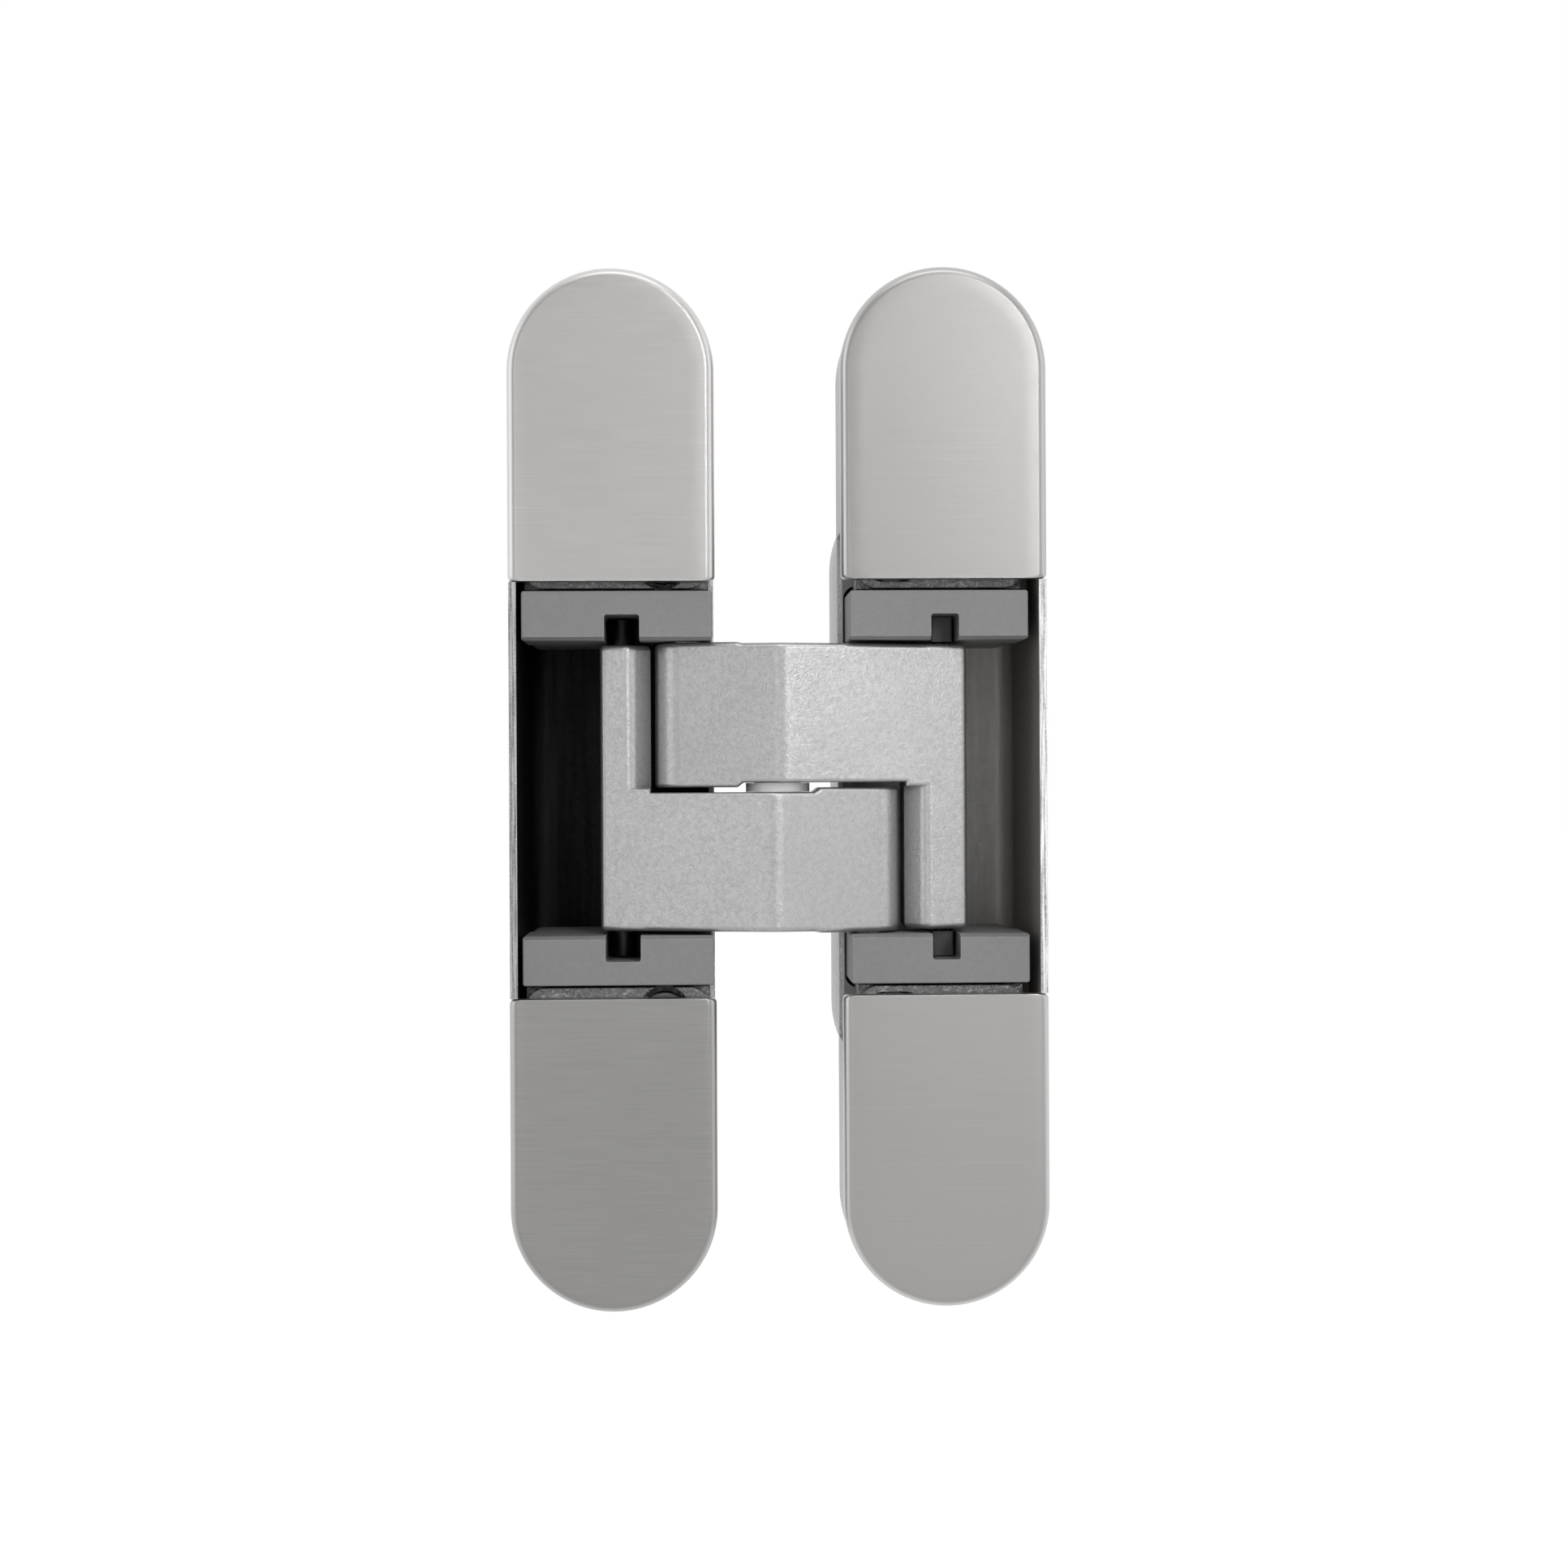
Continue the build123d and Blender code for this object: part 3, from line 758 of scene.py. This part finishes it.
@dataclass(frozen=True)
class MachinedSteel:
    """Turned or ground steel of pins, cams and screws."""

    name: str
    level: float
    rough: float
    streak_shares: tuple[float, float] = (0.75, 1.2)
    relief: float = 0.000008

    def make(self) -> bpy.types.Material:
        """Builds the material: fine turning lines, slight clouds and rubbed edges.

        Returns:
            The material.
        """
        coat = Coat(self.name, 1.0)
        sheet = coat.sheet
        lines = coat.use(SHELF.lines, Lines_per_mm=6.0, Line_length_mm=20.0)
        grain = coat.use(SHELF.grain, Grains_per_mm=6.0, Clouds_per_mm=0.3)
        edges = coat.use(SHELF.edges, Width_m=0.00015, Breaks_per_mm=2.0)
        streak = two_tone(sheet, lines["Lines"], self.level, self.streak_shares)
        cloud = sheet.span(grain["Cloud"], 0.35, 0.65, (0.0, 0.3))
        clouded = sheet.blend(cloud, streak, tone(self.level * 0.6))
        rub_and_highlight = sheet.times(edges["Rub and highlight"], 0.4)
        coat.colour(sheet.blend(rub_and_highlight, clouded, tone(min(self.level * 2.0, 0.9))))
        coat.roughness(sheet.span(lines["Lines"], 0.2, 0.8, (self.rough - 0.05, self.rough + 0.12)))
        coat.relief(lines["Lines"], self.relief)
        return coat.material


@dataclass(frozen=True)
class MouldedPlastic:
    """Moulded nylon of the shoes and the spacer."""

    name: str
    level: float
    cloud_shares: tuple[float, float] = (0.8, 1.15)
    relief: float = 0.000012

    def make(self) -> bpy.types.Material:
        """Builds the material: slight clouds and a fine blasted relief.

        Returns:
            The material.
        """
        coat = Coat(self.name, 0.0)
        sheet = coat.sheet
        grain = coat.use(SHELF.grain, Grains_per_mm=7.0, Clouds_per_mm=0.5)
        edges = coat.use(SHELF.edges, Width_m=0.0002, Breaks_per_mm=1.5)
        toned = two_tone(sheet, grain["Cloud"], self.level, self.cloud_shares)
        coat.colour(sheet.blend(sheet.times(edges["Rub and highlight"], 0.25), toned, tone(self.level * 1.5)))
        coat.roughness(sheet.span(grain["Grain"], 0.3, 0.7, (0.4, 0.58)))
        coat.relief(grain["Grain"], self.relief)
        return coat.material


class Finish(Enum):
    """Every finish that the hinge wears."""

    # The four cap finishes are one satin finish at different levels: painted light and shade, lighter or
    # darker copies for how the light falls on each cap.
    COVER = BrushedCover("satin cover", 0.3)
    COVER_PALE = BrushedCover("satin cover painted lighter", 0.385)
    COVER_DIM = BrushedCover("satin cover painted shade", 0.265, streaks=0.25)
    COVER_PLAIN = BrushedCover("satin cover painted a little lighter", 0.328)
    ARM = PowderCoat("silver powder coat", 0.385)
    CARRIER = CarrierCoat("grey carrier coat", 0.202, bare=0.3)
    # The two housings are one casting; the frame's pocket is painted near black as shade and the door's
    # painted pale as light.
    FRAME_CAST = RawCasting(
        "frame casting", level=0.5, pocket_painted_level=0.01, middle=FRAME_MIDDLE[0], side=1, streaks=0.95, rim_share=0.62
    )
    DOOR_CAST = RawCasting(
        "door casting",
        level=0.55,
        pocket_painted_level=0.7,
        middle=DOOR_MIDDLE[0],
        side=-1,
        streaks=0.08,
        wall_painted_shade=0.33,
        rim_share=1.1,
    )
    BLACK_STEEL = MachinedSteel("blackened steel", 0.035, 0.28)
    BRIGHT_STEEL = MachinedSteel("ground steel", 0.5, 0.25)
    SCREW_STEEL = MachinedSteel("screw steel", 0.22, 0.3)
    SPACER = MouldedPlastic("spacer nylon", 0.93)
    SHOE = MouldedPlastic("shoe nylon", 0.07)


MATERIALS: dict[Finish, bpy.types.Material] = {}


def dress(thing: bpy.types.Object, finish: Finish) -> None:
    """Gives an object one finish on all its faces.

    Args:
        thing: Mesh object.
        finish: The finish, made on its first use.
    """
    if finish not in MATERIALS:
        MATERIALS[finish] = finish.value.make()
    if not thing.material_slots:
        thing.data.materials.append(MATERIALS[finish])
    for slot in thing.material_slots:
        slot.link = "OBJECT"
        slot.material = MATERIALS[finish]
    LOG.info("%s wears %s", thing.name, finish.value.name)


# Sub-assemblies


def mesh_piece(name: str, points: np.ndarray, faces: list, smooth_angle: float) -> bpy.types.Object:
    """Puts points and faces into a new object at the origin, with points that meet made one.

    Args:
        name: Name of the piece.
        points: Places in metres, one row each.
        faces: Lists of corner numbers.
        smooth_angle: Edges sharper than this, in degrees, stay crisp.

    Returns:
        The new object.
    """
    mesh = bpy.data.meshes.new(name)
    mesh.from_pydata(points.tolist(), [], faces)
    shape = bmesh.new()
    shape.from_mesh(mesh)
    bmesh.ops.remove_doubles(shape, verts=shape.verts, dist=MERGE_DISTANCE)
    bmesh.ops.recalc_face_normals(shape, faces=shape.faces)
    shape.to_mesh(mesh)
    shape.free()
    mesh.shade_smooth()
    mesh.set_sharp_from_angle(angle=math.radians(smooth_angle))
    thing = bpy.data.objects.new(name, mesh)
    bpy.context.scene.collection.objects.link(thing)
    return thing


def grid_faces(rows: int, columns: int, first: int = 0) -> list:
    """Quads of an open grid.

    Args:
        rows: Points along the path.
        columns: Points along the profile.
        first: Number of the grid's first point.

    Returns:
        Corner numbers, four for each quad.
    """
    row, column = np.meshgrid(np.arange(rows - 1), np.arange(columns - 1), indexing="ij")
    low = first + row * columns + column
    quads = (low, low + 1, low + columns + 1, low + columns)
    return np.stack(quads, axis=-1).reshape(-1, 4).tolist()


@dataclass
class CoverCap:
    """Cover cap of one leaf end: a plate with one round end, a bead along its outline and four snap legs."""

    leaf: Leaf
    end: End
    finish: Finish
    middle: tuple[float, float]
    length: float = 33.3
    width: float = 22.0
    thickness: float = 2.2
    bead: float = 1.0
    corner: float = 0.5
    leaf_half: float = 55.5
    leg_stations: tuple[float, float] = (32.856, 44.844)
    leg_offset: float = 7.4
    leg_size: tuple[float, float, float] = (1.2, 4.6, 3.0)
    barb: float = 0.3
    front_insets: tuple[float, float] = (2.5, 6.0)
    corner_steps: int = 6
    side_steps: int = 16
    round_steps: int = 73
    bead_steps: int = 10
    barb_steps: int = 7

    def path(self) -> tuple[np.ndarray, np.ndarray, np.ndarray]:
        """Outline walked from one corner of the straight end, round the top and back down.

        Returns:
            Middle line points in X and Z, outward directions, and the outline's distance from that line.
        """
        half = self.width / 2
        low = self.leaf_half - self.length
        top = self.leaf_half - half
        rise = self.corner * (1 - np.cos(np.linspace(0, np.pi / 2, self.corner_steps)))
        straight = np.linspace(low + self.corner, top, self.side_steps)[1:-1]
        height = np.concatenate([low + rise, straight])
        ease = np.clip(1 - (height - low) / self.corner, 0, 1)
        reach = half - self.corner * (1 - np.sqrt(1 - ease**2))
        turn = np.linspace(0, np.pi, self.round_steps)
        middle_x = np.zeros(2 * len(height) + len(turn))
        middle_z = np.concatenate([height, np.full(len(turn), top), height[::-1]])
        side = np.ones(len(height))
        outward_x = np.concatenate([side, np.cos(turn), -side])
        outward_z = np.concatenate([0 * side, np.sin(turn), 0 * side])
        reaches = np.concatenate([reach, np.full(len(turn), half), reach[::-1]])
        return np.stack([middle_x, middle_z], 1), np.stack([outward_x, outward_z], 1), reaches

    def profile(self) -> tuple[np.ndarray, np.ndarray]:
        """Section of the plate from the middle of its back, round the bead, to the middle of its front.

        Returns:
            Insets from the outline as a share of its reach or in millimetres, and depths.
        """
        turn = np.linspace(0, np.pi / 2, self.bead_steps)
        front = [*self.front_insets, np.inf]
        inset = np.concatenate([[np.inf, 0.0, 0.0], self.bead * (1 - np.cos(turn)), front])
        foot = [self.thickness, self.thickness, (self.thickness + self.bead) / 2]
        depth = np.concatenate([foot, self.bead * (1 - np.sin(turn)), [0.0, 0.0, 0.0]])
        return inset, depth

    def plate(self) -> tuple[np.ndarray, list]:
        """Skin of the plate: the section swept along the outline, and the flat straight end.

        Returns:
            Points in the cap's own millimetres and its faces.
        """
        middle, outward, reach = self.path()
        inset, depth = self.profile()
        away = np.maximum(reach[:, None] - inset[None, :], 0.0)
        x = middle[:, 0, None] + outward[:, 0, None] * away
        z = middle[:, 1, None] + outward[:, 1, None] * away
        points = np.stack([x, np.broadcast_to(depth, x.shape), z], axis=-1).reshape(-1, 3)
        rows, columns = x.shape
        last = (rows - 1) * columns
        end = list(range(columns)) + [last + column for column in range(columns - 2, 0, -1)]
        return points, grid_faces(rows, columns) + [end]

    def leg(self, side: int, station: float, first: int) -> tuple[np.ndarray, list]:
        """One snap leg: a straight tongue with a half-round barb at its tip, drawn out along Z.

        Args:
            side: Which side of the cap, 1 or -1.
            station: Height of the leg's middle.
            first: Number of its first point.

        Returns:
            Points and faces.
        """
        thick, reach, wide = self.leg_size
        end = self.thickness + reach
        turn = np.linspace(-np.pi / 2, np.pi / 2, self.barb_steps)
        barb_x = thick / 2 + self.barb * np.cos(turn)
        barb_y = end - self.barb + self.barb * np.sin(turn)
        x = np.concatenate([[-thick / 2, thick / 2], barb_x, [-thick / 2]])
        y = np.concatenate([[self.thickness, self.thickness], barb_y, [end]])
        x = side * (self.leg_offset + x)
        count = len(x)
        heights = (station - wide / 2, station + wide / 2)
        rings = [np.stack([x, y, np.full(count, height)], axis=1) for height in heights]
        after = (np.arange(count) + 1) % count
        faces = [[first + i, first + j, first + count + j, first + count + i] for i, j in enumerate(after)]
        faces += [[first + i for i in range(count)], [first + 2 * count - 1 - i for i in range(count)]]
        return np.concatenate(rings), faces

    def place(self, points: np.ndarray) -> np.ndarray:
        """Moves points to the cap's end of its leaf, turned over for a lower end.

        Args:
            points: Places in the cap's own millimetres.

        Returns:
            Places in the hinge's metres.
        """
        side = 1 if self.end is End.UPPER else -1
        turned = points * np.array([side, 1, side])
        return (turned + np.array([self.middle[0], FACE, self.middle[1]])) * MM

    def build(self) -> bpy.types.Object:
        """Builds the cap, puts it in place of the plain one and dresses it.

        Returns:
            The cap.
        """
        points, faces = self.plate()
        for station in self.leg_stations:
            for side in (1, -1):
                more, skin = self.leg(side, station, len(points))
                points = np.concatenate([points, more])
                faces = faces + skin
        node = f"{self.leaf.value}_cap_{self.end.value}"
        name = f"{self.leaf.value}_cover_{self.end.value}"
        cap = mesh_piece(name, self.place(points), faces, CRISP_ANGLE)
        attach(cap, f"{self.leaf.value}_leaf")
        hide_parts(node)
        dress(cap, self.finish)
        return cap


@dataclass
class LeafDressing:
    """Finishes of the pieces of one leaf that the plain solids already shape."""

    leaf: Leaf
    casting: Finish

    def dress(self) -> None:
        """Dresses the housing, carriers, cams, screws and pins."""
        name = self.leaf.value
        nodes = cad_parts
        dress(nodes[f"{name}_housing"], self.casting)
        for end in End:
            dress(nodes[f"{name}_carrier_{end.value}"], Finish.CARRIER)
            dress(nodes[f"{name}_clamp_screw_{end.value}"], Finish.SCREW_STEEL)
            dress(nodes[f"{name}_cam_{end.value}"], Finish.BRIGHT_STEEL)
        dress(nodes[f"{name}_pivot_pin"], Finish.BRIGHT_STEEL)
        dress(nodes[f"{name}_slider_pin"], Finish.BLACK_STEEL)


@dataclass
class Linkage:
    """Crossed arms with their pin, spacer and shoes."""

    def dress(self) -> None:
        """Dresses the linkage."""
        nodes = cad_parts
        for name in ("arm_upper", "arm_lower"):
            dress(nodes[name], Finish.ARM)
        dress(nodes["centre_pin"], Finish.BRIGHT_STEEL)
        dress(nodes["centre_washer"], Finish.SPACER)
        for end in End:
            dress(nodes[f"door_shoe_{end.value}"], Finish.SHOE)


def mixed_shaders(
    sheet: NodeSheet, share: Socket, first: bpy.types.Node, second: bpy.types.Node
) -> Socket:
    """Mixes two shaders.

    Args:
        sheet: Sheet that takes the node.
        share: Share of the second shader.
        first: Shader node.
        second: Shader node.

    Returns:
        The mixed shader.
    """
    mix = sheet.add("ShaderNodeMixShader")
    sheet.join(share, mix.inputs[0])
    sheet.join(first.outputs[0], mix.inputs[1])
    sheet.join(second.outputs[0], mix.inputs[2])
    return mix.outputs[0]


def seen_share(sheet: NodeSheet, rays: bpy.types.Node) -> Socket:
    """Share of 1 for rays that look at the surroundings: from the camera, a gloss or a clear body.

    Args:
        sheet: Sheet that takes the nodes.
        rays: Light path node.

    Returns:
        The share, 0 or 1.
    """
    mirrored = sheet.math("ADD", rays.outputs["Is Glossy Ray"], rays.outputs["Is Transmission Ray"])
    return sheet.math("MINIMUM", sheet.math("ADD", rays.outputs["Is Camera Ray"], mirrored), 1.0)


@dataclass(frozen=True)
class Softbox:
    """A soft lamp that faces the hinge: its place and size in metres, and its power in watts."""

    name: str
    place: Point
    size: tuple[float, float]
    power: float
    aim: Point = (0.018, FACE * MM, 0.0)

    def light(self) -> None:
        """Puts the lamp into the scene."""
        data = bpy.data.lights.new(self.name, "AREA")
        data.shape = "RECTANGLE"
        data.size, data.size_y = self.size
        data.energy = self.power
        lamp = bpy.data.objects.new(self.name, data)
        bpy.context.scene.collection.objects.link(lamp)
        lamp.location = self.place
        facing = Vector(self.aim) - Vector(self.place)
        lamp.rotation_euler = facing.to_track_quat("-Z", "Y").to_euler()


SOFTBOXES = (
    Softbox("right front softbox", (0.37, -1.15, 0.36), (0.16, 0.55), 3.8),
    Softbox("left front softbox", (-0.34, -1.15, 0.1), (0.16, 0.7), 1.35),
    Softbox("right edge softbox", (0.9, -0.8, 0.1), (0.15, 0.9), 0.5),
    Softbox("left edge softbox", (-0.85, -0.85, 0.1), (0.15, 0.9), 0.25),
    Softbox("upper softbox", (0.1, -0.7, 1.1), (0.9, 0.5), 4.5),
    Softbox("left softbox", (-1.0, -0.4, 0.1), (0.5, 1.2), 2.3),
    Softbox("right softbox", (1.0, -0.4, 0.1), (0.5, 1.2), 1.7),
)


@dataclass
class Studio:
    """Pale floor, soft light, white surroundings with a dim room behind the camera, and the camera."""

    target: Point = (18.25, FACE, 0.55)
    azimuth: float = -2.0
    roll: float = -0.3
    distance: float = 275.0
    lens: float = 59.4
    sensor: float = 36.0
    clip_start: float = 0.01
    floor_height: float = -88.0
    floor_half: float = 4.0
    floor_tone: Colour = (0.9, 0.9, 0.9)
    glow: float = 1.12
    glow_share: float = 0.85
    surround: float = 0.4
    dark_turn: float = 60.0
    dark_level: float = 0.25
    dark_core: float = 0.998
    lamps: tuple[Softbox, ...] = SOFTBOXES

    def camera(self) -> None:
        """Sets the camera square to the leaves, slightly from the left."""
        data = bpy.data.cameras.new("camera")
        data.lens = self.lens
        data.sensor_width = self.sensor
        data.clip_start = self.clip_start
        camera = bpy.data.objects.new("camera", data)
        bpy.context.scene.collection.objects.link(camera)
        turn = math.radians(self.azimuth)
        back = Vector((math.sin(turn), -math.cos(turn), 0.0))
        camera.location = Vector(self.target) * MM + back * self.distance * MM
        level = (-back).to_track_quat("-Z", "Y").to_matrix()
        facing = level @ Matrix.Rotation(math.radians(self.roll), 3, "Z")
        camera.rotation_euler = facing.to_euler()
        bpy.context.scene.camera = camera

    def background(self) -> None:
        """Makes the surroundings grey for light, white for the camera, and dim ahead for reflections."""
        world = bpy.data.worlds.new("surroundings")
        world.use_nodes = True
        sheet = NodeSheet(world.node_tree)
        world.node_tree.nodes.clear()
        rays = sheet.add("ShaderNodeLightPath")
        light = sheet.add("ShaderNodeBackground")
        sheet.feed(WHITE, light.inputs["Color"])
        light.inputs["Strength"].default_value = self.surround
        seen = sheet.add("ShaderNodeBackground")
        sheet.feed(WHITE, seen.inputs["Color"])
        way = sheet.split(sheet.add("ShaderNodeTexCoord").outputs["Generated"])
        ahead = sheet.times(way["Y"], -1.0)
        room_edge = math.cos(math.radians(self.dark_turn))
        room = sheet.span(ahead, room_edge, self.dark_core, (0.0, 1.0 - self.dark_level))
        shade = sheet.times(room, rays.outputs["Is Glossy Ray"])
        sheet.join(sheet.math("SUBTRACT", 1.0, shade), seen.inputs["Strength"])
        out = sheet.add("ShaderNodeOutputWorld")
        sheet.join(mixed_shaders(sheet, seen_share(sheet, rays), light, seen), out.inputs[0])
        bpy.context.scene.world = world

    def floor(self) -> None:
        """Lays a wide pale floor that is nearly white to the camera and keeps a soft shadow."""
        half, height = self.floor_half, self.floor_height * MM
        corners = ((-half, -half), (half, -half), (half, half), (-half, half))
        points = np.array([(x, y, height) for x, y in corners])
        floor = mesh_piece("studio_floor", points, [[0, 1, 2, 3]], CRISP_ANGLE)
        material = bpy.data.materials.new("pale floor")
        material.use_nodes = True
        sheet = NodeSheet(material.node_tree)
        material.node_tree.nodes.clear()
        rays = sheet.add("ShaderNodeLightPath")
        paint = sheet.add("ShaderNodeBsdfDiffuse")
        sheet.feed(self.floor_tone, paint.inputs["Color"])
        glow = sheet.add("ShaderNodeEmission")
        glow.inputs["Strength"].default_value = self.glow
        share = sheet.times(seen_share(sheet, rays), self.glow_share)
        out = sheet.add("ShaderNodeOutputMaterial")
        sheet.join(mixed_shaders(sheet, share, paint, glow), out.inputs[0])
        floor.data.materials.append(material)

    def build(self) -> None:
        """Builds the studio."""
        self.background()
        self.floor()
        for lamp in self.lamps:
            lamp.light()
        self.camera()
        bpy.context.scene.view_settings.view_transform = "Standard"


CAPS = (
    CoverCap(Leaf.FRAME, End.UPPER, Finish.COVER_PALE, FRAME_MIDDLE),
    CoverCap(Leaf.FRAME, End.LOWER, Finish.COVER_DIM, FRAME_MIDDLE),
    CoverCap(Leaf.DOOR, End.UPPER, Finish.COVER, DOOR_MIDDLE),
    CoverCap(Leaf.DOOR, End.LOWER, Finish.COVER_PLAIN, DOOR_MIDDLE),
)


def main() -> None:
    """Builds and dresses the hinge in order."""
    logging.basicConfig(level=logging.INFO, format="%(name)s: %(message)s")
    for cap in CAPS:
        made = cap.build()
        LOG.info("built %s with %d faces", made.name, len(made.data.polygons))
    LeafDressing(Leaf.FRAME, Finish.FRAME_CAST).dress()
    LeafDressing(Leaf.DOOR, Finish.DOOR_CAST).dress()
    Linkage().dress()
    Studio().build()


if __name__ == "__main__":
    main()
